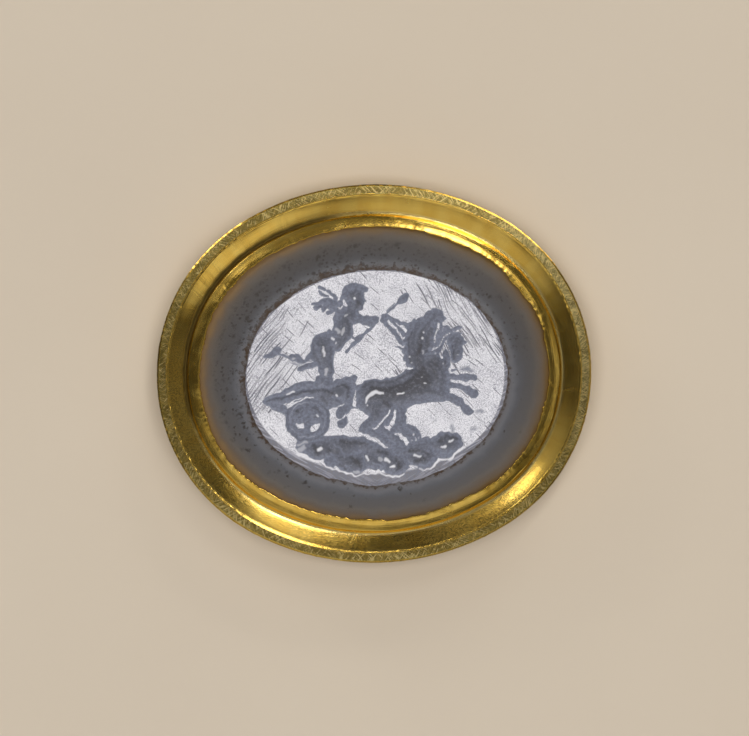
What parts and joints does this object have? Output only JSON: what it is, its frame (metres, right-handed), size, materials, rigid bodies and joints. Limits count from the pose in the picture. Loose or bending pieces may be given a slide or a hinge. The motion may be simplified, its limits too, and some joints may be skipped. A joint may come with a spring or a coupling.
{
  "type": "intaglio gem in a box setting",
  "caption": "Oval engraved chalcedony seal stone with a flat table and bevelled slopes, held by a burnished collar in a closed gold box setting with a hollow-curved rim.",
  "frame": {"origin": "centre of the setting's flat underside", "axes": "+X along the oval's long axis, +Y along its short axis towards the top of the picture, +Z out of the engraved face"},
  "size_m": [0.0222, 0.0194, 0.0042],
  "materials": {
    "chalcedony": "polished table, matt slopes and cuts",
    "gold": "burnished high-carat gold with file marks on the land",
    "gold_solder": "satin",
    "bedding_compound": "matt"
  },
  "bodies": {
    "root": {"gem": "chalcedony", "bezel_collar": "gold", "cavetto_frame": "gold", "side_wall": "gold", "back_plate": "gold", "bearer_ring": "gold", "rim_solder": "gold_solder", "collar_solder": "gold_solder", "back_solder": "gold_solder", "bedding": "bedding_compound"}
  },
  "joints": []
}
